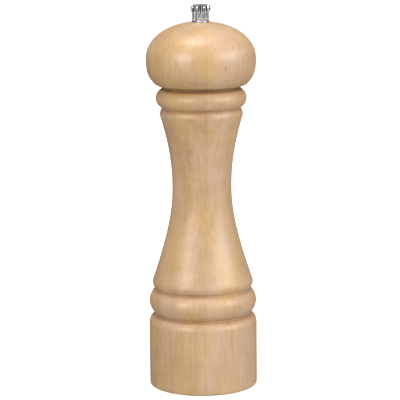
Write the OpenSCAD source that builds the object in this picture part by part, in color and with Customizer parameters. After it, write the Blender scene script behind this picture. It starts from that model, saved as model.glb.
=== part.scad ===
// Turned wooden pepper mill with a knob-adjusted burr mechanism.
// Millimetres, +Z up, origin at the centre of the foot.

/* [Body] */
// Diameter of the base, the widest part of the body
base_d = 57.5; // [56:0.5:60]
// Height of the base drum, up to the first groove
base_h = 39; // [38:0.1:41]
// Radius of the round on the foot's edge
foot_round = 1.5; // [0.5:0.1:2]
// Height of the rounded shoulder on top of the base drum
base_shoulder_h = 5.2; // [4:0.1:7]
// Diameter at the bottom of the two grooves above the base
groove_d = 49.2; // [48:0.2:51]
// Diameter of the large bead between those grooves
base_bead_d = 57; // [55:0.2:57.4]
// Height of the large bead
base_bead_h = 14; // [12:0.1:15]
// Diameter of the lip where the lower cone begins
lip_d = 53.6; // [52:0.2:54]
// Diameter at the waist
waist_d = 31.4; // [30:0.2:34]
// Height of the waist above the foot
waist_z = 106.7; // [100:0.1:112]
// Diameter of the lip under the neck groove
neck_lip_d = 44; // [43:0.2:46]
// Height of that lip above the foot
neck_lip_z = 145.6; // [145:0.2:146.6]
// Diameter at the bottom of the neck groove
neck_groove_d = 40.2; // [39:0.2:41]
// Diameter of the neck bead
neck_bead_d = 48; // [46:0.2:50]
// Height of the top of the neck bead, below the head's edge
neck_bead_top = 159.7; // [159.4:0.1:160]
// Height of the parting line between body and head
joint_z = 161; // [160.8:0.1:162]

/* [Head] */
// Diameter of the ball-shaped head
ball_d = 57.8; // [56:0.2:60]
// Height of the ball's widest line above the parting line
ball_mid_h = 13.4; // [12.8:0.1:14]
// Height of the head's flat top above the parting line
head_h = 33.2; // [32.8:0.1:34]
// Diameter of the tenon that turns in the body's mouth
tenon_d = 26.4; // [25:0.2:26.4]
// Length of the tenon
tenon_l = 14.5; // [13:0.5:15]

/* [Knob] */
// Height of the knob
knob_h = 8.2; // [8.1:0.1:10]
// Diameter of the knob's upper band, over the ridges
knob_band_d = 10.4; // [10:0.1:12]
// Diameter of the knob's lower part, over the ridges
knob_foot_d = 8.7; // [8.6:0.1:9.4]
// Number of flutes around the knob
knob_flutes = 9; // [6:1:10]
// Diameter of the washer under the knob
knob_washer_d = 9.2; // [9:0.1:10]
// Thickness of that washer
knob_washer_t = 0.6; // [0.5:0.1:1]

/* [Mechanism] */
// Diameter of the bore that holds the peppercorns
bore_d = 22; // [20:0.5:23]
// Side of the square shaft
shaft_w = 6; // [5.6:0.1:6]
// Diameter of the shaft's threaded top end, and of its round tail
thread_d = 5; // [4.6:0.1:5]
// Wire diameter of the spring
wire_d = 1.1; // [0.8:0.1:1.3]
// Number of turns in the spring
spring_turns = 5; // [4:1:6]
// Number of coarse crushing grooves in the rotor
coarse_grooves = 7; // [5:1:9]
// Number of fine teeth around the grinding edge
fine_grooves = 20; // [14:1:24]
// Thickness of the bar that holds the mechanism in from below
crossbar_t = 1.5; // [1.2:0.1:1.6]
// Width of that bar
crossbar_w = 12; // [11:0.5:14]

/* [Hidden] */
$fn = 96;

eps = 0.05;      // radial play of a shaft in its hole, and of a liner in its seat
play = 0.3;      // radial play between turned wood and what moves or sits in it
screw_play = 0.4; // how much wider than its screw a hole in sheet steel is
past = 1;        // how far a cutter runs past the face it cuts

maple = [0.85, 0.70, 0.51];
chrome = [0.80, 0.80, 0.82];
steel = [0.62, 0.63, 0.65];
burr_steel = [0.42, 0.42, 0.44];
brass = [0.80, 0.66, 0.34];

// The body's hollows: recess around the crossbar, seat of the mechanism, mouth for the tenon
recess_d = 43;
recess_h = 8;
seat_d = 32;
seat_h = 40;
seat_shoulder = 5;
mouth_d = tenon_d + 2 * play;
mouth_l = tenon_l + 3;
mouth_shoulder = 2.5;
fixing_x = 17.9;                      // crossbar screws, out from the axis
fixing_d = 2.7;
fixing_l = 10.5;
pilot_l = 9;

// Grinding mechanism, heights above the foot
crossbar_z = 5.5;
bush_d = 8;
bush_flange_d = 11;
shell_z = crossbar_z + crossbar_t;
shell_d = 31.4;
shell_wall = 0.8;
shell_top = 27;
flange_d = recess_d - 1.4;
stator_top = 22;
throat_r = 11.1;                      // stator's radius at the throat, where the teeth begin
throat_z = 12;
grind_slope = 0.5;                    // radius gained per height below the throat
burr_gap = 0.65;
groove_depth = 0.45;                  // fine grooves
bridge_z = 36;
bridge_t = 1.5;
bridge_w = 14;
bridge_hole_d = 9.4;
bridge_leg_t = 1.25;
bridge_d = shell_d - 2 * shell_wall - 2 * eps;
rivet_d = 2.4;
rivet_z = 24.8;
rotor_z = 9;
rotor_top = 21;
washer_t = 1;
washer_d = 13.2;
washer_hole_d = 9.2;
clip_z = 10.8;
clip_t = 0.7;
clip_groove_d = 3.8;
rotor_recess_r = 6;
rotor_recess_h = clip_z + clip_t - rotor_z;
shaft_square_z = 12.5;
shaft_square_top = joint_z + 21;
shaft_top = joint_z + head_h + 5.6;
tail_z = 3.2;

// Stations of the body's outline, and how far each flare stays upright from the waist
bead_top = base_h + base_bead_h;
lip_z = bead_top + 3.4;
neck_bead_z = neck_lip_z + 3.5;
lower_knee = 34;
upper_knee = 66;

// The head's outline: half height and power of the superellipse below and above its middle
ball_low_b = 18.1;
ball_low_power = 2.7;
ball_low_t = asin(pow(ball_mid_h / ball_low_b, ball_low_power / 2));
ball_high_b = head_h - ball_mid_h + 0.1;
ball_high_power = 2.13;
ball_high_t = asin(pow((head_h - ball_mid_h) / ball_high_b, ball_high_power / 2));
head_top = joint_z + head_h;
knob_z = head_top + knob_washer_t;

// Drive plate under the tenon
plate_d = 24;
plate_t = 1.5;
plate_z = joint_z - tenon_l - plate_t;
plate_screw_x = 8.5;
plate_screw_d = 2.3;
plate_screw_l = 7.5;                  // length in the wood

// Points of an outline, as [radius, height]

// Quarter of an ellipse between two points: standing out first, or rising first
function quarter(p, q, out_first, n = 5) = [for (i = [0:n]) let (a = 90 * i / n)
    out_first ? [p.x + (q.x - p.x) * sin(a), p.y + (q.y - p.y) * (1 - cos(a))]
              : [p.x + (q.x - p.x) * (1 - cos(a)), p.y + (q.y - p.y) * sin(a)]];

// Circular bead of greatest radius r, on a cylinder of radius groove_r
function bead(groove_r, r, z0, z1, n = 10) =
    let (rise = r - groove_r, half = (z1 - z0) / 2)
    let (arc_r = (half * half + rise * rise) / (2 * rise))
    let (sweep = asin(half / arc_r))
    [for (i = [0:n]) let (a = -sweep + 2 * sweep * i / n)
        [r - arc_r + arc_r * cos(a), z0 + half + arc_r * sin(a)]];

// Flared stretch from radius r0 at z0 to r1 at z1, hollow, flat at the end z_flat
function flare(r0, z0, r1, z1, knee, n = 9) =
    let (waist_r = min(r0, r1), wide_r = max(r0, r1), z_flat = r0 < r1 ? z0 : z1)
    let (full = sqrt(1 + pow((z1 - z0) / knee, 2)) - 1)
    [for (i = [0:n]) let (z = z0 + (z1 - z0) * i / n)
        [waist_r + (wide_r - waist_r) * (sqrt(1 + pow((z - z_flat) / knee, 2)) - 1) / full, z]];

// Superellipse arc of half axes a and b, from angle t0 to t1, about height z
function ball_arc(a, b, z, power, t0, t1, n) = [for (i = [0:n])
    let (t = t0 + (t1 - t0) * i / n)
    [a * pow(cos(t), 2 / power), z + sign(t) * b * pow(abs(sin(t)), 2 / power)]];

function body_outline() = concat(
    [[0, 0]],
    [for (a = [0:30:90]) [base_d / 2 - foot_round * (1 - sin(a)), foot_round * (1 - cos(a))]],
    quarter([base_d / 2, base_h - base_shoulder_h], [groove_d / 2, base_h], false),
    bead(groove_d / 2, base_bead_d / 2, base_h, bead_top),
    quarter([groove_d / 2, bead_top], [lip_d / 2, lip_z], true),
    flare(lip_d / 2, lip_z + 0.3, waist_d / 2, waist_z, lower_knee, 11),
    flare(waist_d / 2, waist_z + 1, neck_lip_d / 2, neck_lip_z, upper_knee),
    quarter([neck_lip_d / 2, neck_lip_z + 0.1], [neck_groove_d / 2, neck_bead_z], false, 4),
    bead(neck_groove_d / 2, neck_bead_d / 2, neck_bead_z, neck_bead_top),
    [[neck_groove_d / 2, joint_z], [0, joint_z]]);

function head_outline() = concat(
    [[0, joint_z - tenon_l], [tenon_d / 2 - 0.6, joint_z - tenon_l],
     [tenon_d / 2, joint_z - tenon_l + 0.6], [tenon_d / 2, joint_z]],
    ball_arc(ball_d / 2, ball_low_b, joint_z + ball_mid_h, ball_low_power, -ball_low_t, -3, 7),
    ball_arc(ball_d / 2, ball_high_b, joint_z + ball_mid_h, ball_high_power, 0, ball_high_t, 13),
    [[0, head_top]]);

// Repeated shapes

module ring(z, d, hole_d, t) {
    translate([0, 0, z]) difference() {
        cylinder(d = d, h = t);
        translate([0, 0, -past]) cylinder(d = hole_d, h = t + 2 * past);
    }
}

// Copies the children at +x and -x
module pair(x) {
    for (side = [-1, 1]) translate([side * x, 0, 0]) children();
}

module square_bar(w, z0, z1) {
    translate([-w / 2, -w / 2, z0]) cube([w, w, z1 - z0]);
}

// Slotted pan-head screw, head down, with its shank rising from z
module screw(z, head_d, head_h, shank_d, shank_l) {
    slot_w = 0.7;
    slot_h = head_h / 2;
    head_bevel = 0.6;
    translate([0, 0, z]) difference() {
        union() {
            cylinder(d = shank_d, h = shank_l);
            translate([0, 0, -head_h])
                cylinder(d1 = head_d - 2 * head_bevel, d2 = head_d, h = head_h);
        }
        translate([-head_d, -slot_w / 2, -head_h - past]) cube([2 * head_d, slot_w, slot_h + past]);
    }
}

// V-shaped cutters set around the axis, each along a line from [r0, z0] to [r1, z1],
// and turned by skew degrees out of the axial plane
module grooves(n, r0, z0, r1, z1, depth, skew) {
    lean = atan((r1 - r0) / (z1 - z0));
    side = depth * sqrt(2);
    for (i = [0:n - 1]) rotate([0, 0, 360 * (i + 0.5) / n])
        translate([(r0 + r1) / 2, 0, (z0 + z1) / 2]) rotate([skew, lean, 0]) rotate([0, 0, 45])
            cube([side, side, norm([r1 - r0, z1 - z0])], center = true);
}

// Sub-parts fixed in the body

module body() {
    color(maple) difference() {
        rotate_extrude() polygon(body_outline());
        translate([0, 0, -past]) cylinder(d = bore_d, h = joint_z + 2 * past);
        translate([0, 0, -past]) cylinder(d = recess_d, h = recess_h + past);
        translate([0, 0, recess_h - past]) cylinder(d = seat_d, h = seat_h - recess_h + past);
        translate([0, 0, seat_h]) cylinder(d1 = seat_d, d2 = bore_d, h = seat_shoulder);
        translate([0, 0, joint_z - mouth_l]) cylinder(d = mouth_d, h = mouth_l + past);
        translate([0, 0, joint_z - mouth_l - mouth_shoulder])
            cylinder(d1 = bore_d, d2 = mouth_d, h = mouth_shoulder);
        pair(fixing_x) translate([0, 0, recess_h - past])
            cylinder(d = fixing_d + 2 * eps, h = pilot_l + past, $fn = 32);
    }
}

module crossbar() {
    bar_d = flange_d - 0.4;           // its round ends, just inside the shell's flange
    color(steel) difference() {
        translate([0, 0, crossbar_z]) intersection() {
            cylinder(d = bar_d, h = crossbar_t);
            translate([-flange_d / 2, -crossbar_w / 2, 0]) cube([flange_d, crossbar_w, crossbar_t]);
        }
        translate([0, 0, crossbar_z - past]) cylinder(d = bush_d, h = crossbar_t + 2 * past);
        pair(fixing_x) translate([0, 0, crossbar_z - past])
            cylinder(d = fixing_d + screw_play, h = crossbar_t + 2 * past, $fn = 32);
    }
}

module crossbar_bush() {
    flange_t = 1;
    color(brass) difference() {
        union() {
            translate([0, 0, crossbar_z - flange_t]) cylinder(d = bush_flange_d, h = flange_t);
            translate([0, 0, crossbar_z]) cylinder(d = bush_d - 2 * eps, h = crossbar_t);
        }
        translate([0, 0, crossbar_z - flange_t - past])
            cylinder(d = thread_d + 2 * eps, h = crossbar_t + flange_t + 2 * past);
    }
}

module crossbar_screws() {
    color(chrome) pair(fixing_x) screw(z = crossbar_z, head_d = 5.2, head_h = 1.6,
                                       shank_d = fixing_d, shank_l = fixing_l, $fn = 32);
}

module stator_shell() {
    bore = shell_d - 2 * shell_wall;
    color(steel) difference() {
        union() {
            translate([0, 0, shell_z]) cylinder(d = flange_d, h = recess_h - shell_z);
            translate([0, 0, shell_z]) cylinder(d = shell_d, h = shell_top - shell_z);
        }
        translate([0, 0, shell_z - past]) cylinder(d = bore, h = shell_top - shell_z + 2 * past);
        pair(fixing_x) translate([0, 0, shell_z - past])
            cylinder(d = fixing_d + screw_play, h = recess_h - shell_z + 2 * past, $fn = 32);
        translate([0, 0, rivet_z]) rotate([0, 90, 0])
            cylinder(d = rivet_d + 2 * eps, h = shell_d + 2 * past, center = true, $fn = 32);
    }
}

// Radius of the stator's grinding cone at height z
function grind_r(z) = throat_r + (throat_z - z) * grind_slope;

module stator() {
    mouth_r = throat_r + 1.1;
    color(burr_steel) difference() {
        rotate_extrude() polygon([
            [grind_r(shell_z), shell_z], [bridge_d / 2, shell_z], [bridge_d / 2, stator_top],
            [mouth_r, stator_top], [throat_r, throat_z]]);
        grooves(n = fine_grooves, r0 = grind_r(shell_z - past), z0 = shell_z - past,
                r1 = throat_r, z1 = throat_z + 0.5, depth = groove_depth, skew = 0);
        grooves(n = coarse_grooves + 2, r0 = throat_r, z0 = throat_z,
                r1 = mouth_r + 0.2, z1 = stator_top + 1.5, depth = 1, skew = 14);
    }
}

module bridge() {
    color(steel) difference() {
        intersection() {
            translate([0, 0, stator_top]) difference() {
                cylinder(d = bridge_d, h = bridge_z + bridge_t - stator_top);
                translate([0, 0, -past])
                    cylinder(d = bridge_d - 2 * bridge_leg_t, h = bridge_z - stator_top + past);
            }
            translate([-bridge_d, -bridge_w / 2, 0]) cube([2 * bridge_d, bridge_w, 2 * bridge_z]);
        }
        translate([0, 0, bridge_z - past]) cylinder(d = bridge_hole_d, h = bridge_t + 2 * past);
        translate([0, 0, rivet_z]) rotate([0, 90, 0])
            cylinder(d = rivet_d + 2 * eps, h = shell_d + 2 * past, center = true, $fn = 32);
    }
}

module bridge_rivets() {
    inner_x = 13.35;                  // where the flat head meets the curved leg
    outer_x = shell_d / 2 - 0.15;
    rivet_head_h = 0.9;
    sunk = 0.2;                       // how far the shank starts inside its head
    color(steel) for (side = [0, 180]) rotate([0, 0, side]) translate([0, 0, rivet_z])
        rotate([0, 90, 0]) union() {
            translate([0, 0, inner_x - rivet_head_h])
                cylinder(d1 = 3, d2 = 4.2, h = rivet_head_h, $fn = 32);
            translate([0, 0, inner_x - sunk])
                cylinder(d = rivet_d, h = outer_x - inner_x + sunk, $fn = 32);
        }
}

// Sub-parts that turn with the head

module thrust_washer() {
    color(brass) ring(bridge_z - washer_t, washer_d, washer_hole_d, washer_t);
}

// Helical spring of round wire. A level cut through the wire is a bent lens, which is
// swept up and around. Its ends are ground flat, as on a real compression spring.
module spring() {
    z0 = rotor_top + washer_t;
    length = bridge_z - washer_t - z0;
    pitch = (length - wire_d) / spring_turns;
    turns = length / pitch;
    shaft_gap = 0.4;                  // beyond the washers' holes
    coil_r = washer_hole_d / 2 + shaft_gap + wire_d / 2;
    span = 360 * wire_d / pitch / 2;
    steps = 4;
    slices_per_turn = 16;
    // Half of the lens's rim, at side = 1 outside the coil's mean radius or -1 inside it
    function rim(side, i) = let (t = 90 * i / steps, r = coil_r + side * wire_d / 2 * cos(t))
        [r * cos(span * sin(t)), r * sin(span * sin(t))];
    lens = concat([for (i = [-steps:steps]) rim(1, i)],
                  [for (i = [steps - 1:-1:1 - steps]) rim(-1, i)]);
    color(chrome) translate([0, 0, z0])
        linear_extrude(height = length, twist = -360 * turns,
                       slices = ceil(slices_per_turn * turns), $fn = slices_per_turn)
            polygon(lens);
}

module spring_washer() {
    color(steel) ring(rotor_top, washer_d, washer_hole_d, washer_t);
}

module rotor() {
    rim_r = throat_r - burr_gap;
    neck_r = washer_d / 2 - 0.3;
    shoulder_r = rim_r - 1.05;
    shoulder_z = throat_z + 1.2;
    color(burr_steel) difference() {
        rotate_extrude() polygon([
            [0, rotor_z], [grind_r(rotor_z) - burr_gap, rotor_z],
            [rim_r, throat_z], [shoulder_r, shoulder_z],
            [neck_r, rotor_top - 1.5], [neck_r, rotor_top], [0, rotor_top]]);
        translate([0, 0, rotor_z - past]) cylinder(r = rotor_recess_r, h = rotor_recess_h + past);
        square_bar(shaft_w + 2 * eps, rotor_z, rotor_top + past);
        grooves(n = fine_grooves, r0 = grind_r(rotor_z - past) - burr_gap, z0 = rotor_z - past,
                r1 = rim_r, z1 = throat_z + 0.5, depth = groove_depth, skew = 0);
        grooves(n = coarse_grooves, r0 = throat_r - 0.2, z0 = throat_z - 0.6,
                r1 = neck_r, z1 = rotor_top - 1, depth = 1.1, skew = 16);
    }
}

module rotor_clip() {
    outer_d = 8.4;
    gap = 3;
    color(steel) difference() {
        ring(clip_z, outer_d, clip_groove_d + 2 * eps, clip_t);
        translate([0, -gap / 2, clip_z - past]) cube([outer_d, gap, clip_t + 2 * past]);
    }
}

module shaft() {
    tip = 0.6;
    color(steel) difference() {
        union() {
            square_bar(shaft_w, shaft_square_z, shaft_square_top);
            translate([0, 0, tail_z]) cylinder(d1 = thread_d - 2 * tip, d2 = thread_d, h = tip);
            translate([0, 0, tail_z + tip]) cylinder(d = thread_d, h = shaft_top - tail_z - 2 * tip);
            translate([0, 0, shaft_top - tip]) cylinder(d1 = thread_d, d2 = thread_d - 2 * tip, h = tip);
        }
        ring(clip_z - eps, 2 * thread_d, clip_groove_d, clip_t + 2 * eps);
    }
}

// Head and what is fixed to it

module head() {
    shaft_hole_d = 10;
    shaft_hole_top = shaft_square_top + 4;
    thread_hole_d = 6.4;
    color(maple) difference() {
        rotate_extrude() polygon(head_outline());
        translate([0, 0, joint_z - tenon_l - past])
            cylinder(d = shaft_hole_d, h = shaft_hole_top - joint_z + tenon_l + past);
        translate([0, 0, joint_z]) cylinder(d = thread_hole_d, h = head_h + past);
        pair(plate_screw_x) translate([0, 0, joint_z - tenon_l - past])
            cylinder(d = plate_screw_d + 2 * eps, h = plate_screw_l + 0.5 + past, $fn = 32);
    }
}

module drive_plate() {
    color(steel) difference() {
        translate([0, 0, plate_z]) cylinder(d = plate_d, h = plate_t);
        square_bar(shaft_w + play, plate_z - past, plate_z + plate_t + past);
        pair(plate_screw_x) translate([0, 0, plate_z - past])
            cylinder(d = plate_screw_d + screw_play, h = plate_t + 2 * past, $fn = 32);
    }
}

module drive_plate_screws() {
    color(chrome) pair(plate_screw_x) screw(z = plate_z, head_d = 4.2, head_h = 1.3,
                                            shank_d = plate_screw_d,
                                            shank_l = plate_t + plate_screw_l, $fn = 32);
}

// Knob and its washer

module knob_washer() {
    hole_d = thread_d + 2 * play;
    color(chrome) ring(head_top, knob_washer_d, hole_d, knob_washer_t);
}

module knob() {
    band_r = knob_band_d / 2;
    foot_r = knob_foot_d / 2;
    flute_r = 1.5;
    flute_depth = 0.5;                // below the lower part's ridges
    foot_bevel = 0.3;
    foot_top = 0.50 * knob_h;         // where the lower part starts to widen into the band
    band_z = 0.60 * knob_h;
    band_top = 0.82 * knob_h;
    round_r = 0.9;                    // how far the top's round comes in
    roof = 2.1;
    color(chrome) difference() {
        translate([0, 0, knob_z]) rotate_extrude() polygon(concat(
            [[0, 0], [foot_r - foot_bevel, 0], [foot_r, foot_bevel], [foot_r, foot_top],
             [band_r, band_z], [band_r, band_top]],
            [for (a = [15:15:90]) [band_r - round_r * (1 - cos(a)),
                                   band_top + (knob_h - band_top) * sin(a)]],
            [[0, knob_h]]));
        for (i = [0:knob_flutes - 1]) rotate([0, 0, 360 * i / knob_flutes - 90])
            translate([foot_r - flute_depth + flute_r, 0, knob_z - past])
                cylinder(r = flute_r, h = knob_h + 2 * past, $fn = 32);
        translate([0, 0, knob_z - past])
            cylinder(d = thread_d + 2 * eps, h = knob_h - roof + past);
    }
}

body();
crossbar();
crossbar_bush();
crossbar_screws();
stator_shell();
stator();
bridge();
bridge_rivets();
thrust_washer();
spring();
spring_washer();
rotor();
rotor_clip();
shaft();
head();
drive_plate();
drive_plate_screws();
knob_washer();
knob();
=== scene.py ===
"""Looks of a turned maple pepper mill: wood body and head, chrome knob, steel burr mechanism.

Outlines are lists of (radius, height) in millimetres. The mesh makers turn them into metres.
"""
import math

import bmesh
import bpy
from mathutils import Matrix, Vector


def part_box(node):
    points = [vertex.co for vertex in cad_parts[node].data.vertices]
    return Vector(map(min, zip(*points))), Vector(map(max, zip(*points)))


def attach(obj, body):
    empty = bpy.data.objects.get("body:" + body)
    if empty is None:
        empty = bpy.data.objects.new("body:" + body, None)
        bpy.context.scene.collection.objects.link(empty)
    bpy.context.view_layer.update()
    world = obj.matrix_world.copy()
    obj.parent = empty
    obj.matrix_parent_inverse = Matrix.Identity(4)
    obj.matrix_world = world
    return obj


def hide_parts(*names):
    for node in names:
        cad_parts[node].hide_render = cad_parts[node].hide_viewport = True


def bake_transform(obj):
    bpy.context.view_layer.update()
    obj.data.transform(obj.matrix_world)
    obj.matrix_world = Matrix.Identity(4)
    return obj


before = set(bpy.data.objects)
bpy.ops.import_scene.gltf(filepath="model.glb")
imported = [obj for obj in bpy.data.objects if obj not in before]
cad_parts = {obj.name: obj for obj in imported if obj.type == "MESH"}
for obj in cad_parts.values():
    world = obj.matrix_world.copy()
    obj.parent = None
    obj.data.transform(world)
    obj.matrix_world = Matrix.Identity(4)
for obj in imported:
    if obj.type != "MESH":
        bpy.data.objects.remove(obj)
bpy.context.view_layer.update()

MM = 0.001
AROUND = 192          # facets around a turned piece of wood
AROUND_SMALL = 96     # facets around a small fitting
SHARP_DEG = 38        # edges that turn by more than this stay sharp


def span(node):
    """Lowest height, highest height and greatest radius of a CAD node, in millimetres."""
    low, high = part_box(node)
    return low.z / MM, high.z / MM, max(high.x, high.y) / MM


# Stations and radii that the frame gives

FOOT_Z, JOINT_Z, BASE_R = span("body")
TENON_Z, HEAD_TOP, BALL_R = span("head")
KNOB_Z = span("knob_washer")[1]
KNOB_TOP = span("knob")[1]
TAIL_Z, SHAFT_TOP, SHAFT_HALF = span("shaft")
SHELL_Z, SHELL_TOP, FLANGE_R = span("stator_shell")
STATOR_Z, STATOR_TOP, STATOR_R = span("stator")
ROTOR_Z, ROTOR_TOP, ROTOR_R = span("rotor")
BRIDGE_Z, BRIDGE_TOP, BRIDGE_R = span("bridge")
SPRING_Z, SPRING_TOP, SPRING_R = span("spring")
BAR_Z, BAR_TOP, BAR_R = span("crossbar")
BUSH_Z, BUSH_TOP, BUSH_R = span("crossbar_bush")
PLATE_Z, PLATE_TOP, PLATE_R = span("drive_plate")
CLIP_Z, CLIP_TOP, CLIP_R = span("rotor_clip")
RIVET_X = span("bridge_rivets")[2]
RIVET_Z = sum(span("bridge_rivets")[:2]) / 2

# Sizes of hollows and fittings that no node's box gives, in millimetres

BORE_R = 11
SEAT_R, SEAT_TOP = 16, 40
RECESS_R, RECESS_TOP = 21.5, 8
MOUTH_R, MOUTH_DEPTH = 13.5, 17.5
TENON_R = 13.2
SHAFT_HOLE_R = 5
THREAD_HOLE_R = 3.2
THREAD_R, THREAD_PITCH, THREAD_DEPTH = 2.5, 0.8, 0.42
THREAD_START = JOINT_Z + 21
SQUARE_START = 12.5
SHELL_R, SHELL_WALL = 15.7, 0.8
BAR_HALF_W = 6
FIXING_X, PLATE_SCREW_X = 17.9, 8.5
WASHER_HOLE_R = 4.6
FLUTES = 9
KNOB_CORE_R = 3.2     # the knob's bore lies inside this and stays round


# Outlines

def arc(centre, radius, start, end, n=6):
    """Points on a circle from angle start to angle end, in degrees."""
    return [(centre[0] + radius * math.cos(math.radians(start + (end - start) * i / n)),
             centre[1] + radius * math.sin(math.radians(start + (end - start) * i / n)))
            for i in range(n + 1)]


def quarter(p, q, out_first, n=10):
    """Quarter of an ellipse from p to q, standing out first or rising first."""
    points = []
    for i in range(n + 1):
        a = math.pi / 2 * i / n
        u, v = (math.sin(a), 1 - math.cos(a)) if out_first else (1 - math.cos(a), math.sin(a))
        points.append((p[0] + (q[0] - p[0]) * u, p[1] + (q[1] - p[1]) * v))
    return points


def bead(groove_r, r, z0, z1, n=20):
    """Circular bead of greatest radius r between two grooves."""
    rise, half = r - groove_r, (z1 - z0) / 2
    arc_r = (half * half + rise * rise) / (2 * rise)
    sweep = math.degrees(math.asin(half / arc_r))
    return arc((r - arc_r, z0 + half), arc_r, -sweep, sweep, n)


def flare(r0, z0, r1, z1, knee, n=26):
    """Hollow stretch from radius r0 at z0 to r1 at z1, upright where it is narrow."""
    narrow, wide = min(r0, r1), max(r0, r1)
    flat_z = z0 if r0 < r1 else z1
    full = math.hypot(1, (z1 - z0) / knee) - 1
    return [(narrow + (wide - narrow) * (math.hypot(1, (z - flat_z) / knee) - 1) / full, z)
            for z in (z0 + (z1 - z0) * i / n for i in range(n + 1))]


def superellipse(a, b, mid_z, power, start, end, n):
    """Arc of a superellipse of half axes a and b, from angle start to end in degrees."""
    points = []
    for i in range(n + 1):
        t = math.radians(start + (end - start) * i / n)
        rise = math.copysign(b * abs(math.sin(t)) ** (2 / power), t)
        points.append((a * math.cos(t) ** (2 / power), mid_z + rise))
    return points


def eased(outline, corner, reach=0.9, n=6):
    """Outline with the corner at one of its points rounded, over a short reach to each side."""
    first = last = outline.index(corner)
    while math.dist(outline[first], corner) < reach:
        first -= 1
    while math.dist(outline[last], corner) < reach:
        last += 1
    curve = []
    for t in (k / n for k in range(1, n)):
        curve.append(tuple((1 - t) ** 2 * a + 2 * t * (1 - t) * b + t * t * c
                           for a, b, c in zip(outline[first], corner, outline[last])))
    return outline[:first + 1] + curve + outline[last:]


def body_outline():
    """Closed outline of the body: outside going up, then the mouth and the bores going down."""
    base_h, bead_top = 39.0, 53.0
    groove_r, bead_r, lip_r, lip_z = 24.6, 28.5, 26.8, 56.4
    waist_r, waist_z = 15.7, 106.7
    neck_lip_r, neck_lip_z, neck_groove_r = 22.0, 145.6, 20.1
    neck_bead_r, neck_bead_z, neck_bead_top = 24.0, 149.1, 159.7
    shoulder_h, low_knee, high_knee = 5.2, 34, 66
    lip_edge, waist_edge, neck_lip_edge = 0.3, 1, 0.1
    foot_round, arris, rim_bevel = 1.5, 0.4, 0.2
    mouth_slope, seat_slope = 2.5, 5
    mouth_z = JOINT_Z - MOUTH_DEPTH
    low_groove, high_groove = (groove_r, base_h), (groove_r, bead_top)
    neck_groove = (neck_groove_r, neck_bead_z)
    outline = [
        (RECESS_R, FOOT_Z + arris), (RECESS_R + arris, FOOT_Z),
        *arc((BASE_R - foot_round, FOOT_Z + foot_round), foot_round, -90, 0),
        *quarter((BASE_R, base_h - shoulder_h), low_groove, False)[:-1], low_groove,
        *bead(groove_r, bead_r, base_h, bead_top)[1:-1], high_groove,
        *quarter(high_groove, (lip_r, lip_z), True)[1:],
        *flare(lip_r, lip_z + lip_edge, waist_r, waist_z, low_knee),
        *flare(waist_r, waist_z + waist_edge, neck_lip_r, neck_lip_z, high_knee),
        *quarter((neck_lip_r, neck_lip_z + neck_lip_edge), neck_groove, False)[:-1], neck_groove,
        *bead(neck_groove_r, neck_bead_r, neck_bead_z, neck_bead_top)[1:],
        (neck_groove_r, JOINT_Z - rim_bevel), (neck_groove_r - rim_bevel, JOINT_Z),
        (MOUTH_R + arris, JOINT_Z), (MOUTH_R, JOINT_Z - arris),
        (MOUTH_R, mouth_z), (BORE_R, mouth_z - mouth_slope),
        (BORE_R, SEAT_TOP + seat_slope), (SEAT_R, SEAT_TOP), (SEAT_R, RECESS_TOP),
        (RECESS_R, RECESS_TOP)]
    for groove in (low_groove, high_groove, neck_groove):
        outline = eased(outline, groove)
    return outline


def head_outline():
    """Closed outline of the head: tenon, ball, flat top, then the bores going down."""
    mid_h, low_b, low_power, high_power = 13.4, 18.1, 2.7, 2.13
    rise = HEAD_TOP - JOINT_Z - mid_h
    high_b = rise + 0.1
    low_t = math.degrees(math.asin((mid_h / low_b) ** (low_power / 2)))
    high_t = math.degrees(math.asin((rise / high_b) ** (high_power / 2)))
    mid_z = JOINT_Z + mid_h
    arris, tenon_bevel, ledge_z = 0.4, 0.6, THREAD_START + 4
    lower = superellipse(BALL_R, low_b, mid_z, low_power, -low_t, -0.6, 24)
    edge_r = lower[0][0]
    return [
        (SHAFT_HOLE_R, TENON_Z), (TENON_R - tenon_bevel, TENON_Z), (TENON_R, TENON_Z + tenon_bevel),
        (TENON_R, JOINT_Z), (edge_r - arris, JOINT_Z), (edge_r - 0.1, JOINT_Z + 0.12),
        *[p for p in lower if p[1] > JOINT_Z + arris],
        *superellipse(BALL_R, high_b, mid_z, high_power, 0, high_t, 44),
        (THREAD_HOLE_R + arris, HEAD_TOP), (THREAD_HOLE_R, HEAD_TOP - arris),
        (THREAD_HOLE_R, ledge_z), (SHAFT_HOLE_R, ledge_z)]


def ring_outline(hole_r, rim_r, z0, z1, arris, taper):
    """Closed outline of a ring with bevelled edges. The taper is how far its rim leans in."""
    top_r = rim_r - taper
    return [(hole_r + arris, z0), (rim_r - arris, z0), (rim_r, z0 + arris), (top_r, z1 - arris),
            (top_r - arris, z1), (hole_r + arris, z1), (hole_r, z1 - arris), (hole_r, z0 + arris)]


# Mesh makers

def hollowness(outline, closed):
    """How hollow the outline is at each point: 1 at the bottom of a groove, -1 on a sharp ridge.
    It looks further up than down along the outline, so that the painted shade taken from it reaches on
    below an overhang, where a shadow falls."""
    down, up, full_depth = 1.6, 3.2, 1.0
    count = len(outline)
    values = []
    for i, (r, z) in enumerate(outline):
        sides = []
        for step, reach in ((-1, down), (1, up)):
            j, left, here = i, reach, (r, z)
            while left > 0 and (closed or 0 <= j + step < count):
                j = (j + step) % count
                gap = math.dist(here, outline[j])
                share = min(1, left / max(gap, 1e-9))
                here = tuple(a + (b - a) * share for a, b in zip(here, outline[j]))
                left -= gap
            sides.append(here)
        (below_r, _), (above_r, _) = sides
        chord_r = (below_r * up + above_r * down) / (up + down)
        values.append(max(-1.0, min(1.0, (chord_r - r) / full_depth)))
    return values


def smooth(mesh, sharp_deg=SHARP_DEG):
    """Smooth shading with sharp edges kept."""
    for face in mesh.polygons:
        face.use_smooth = True
    mesh.set_sharp_from_angle(angle=math.radians(sharp_deg))


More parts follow.
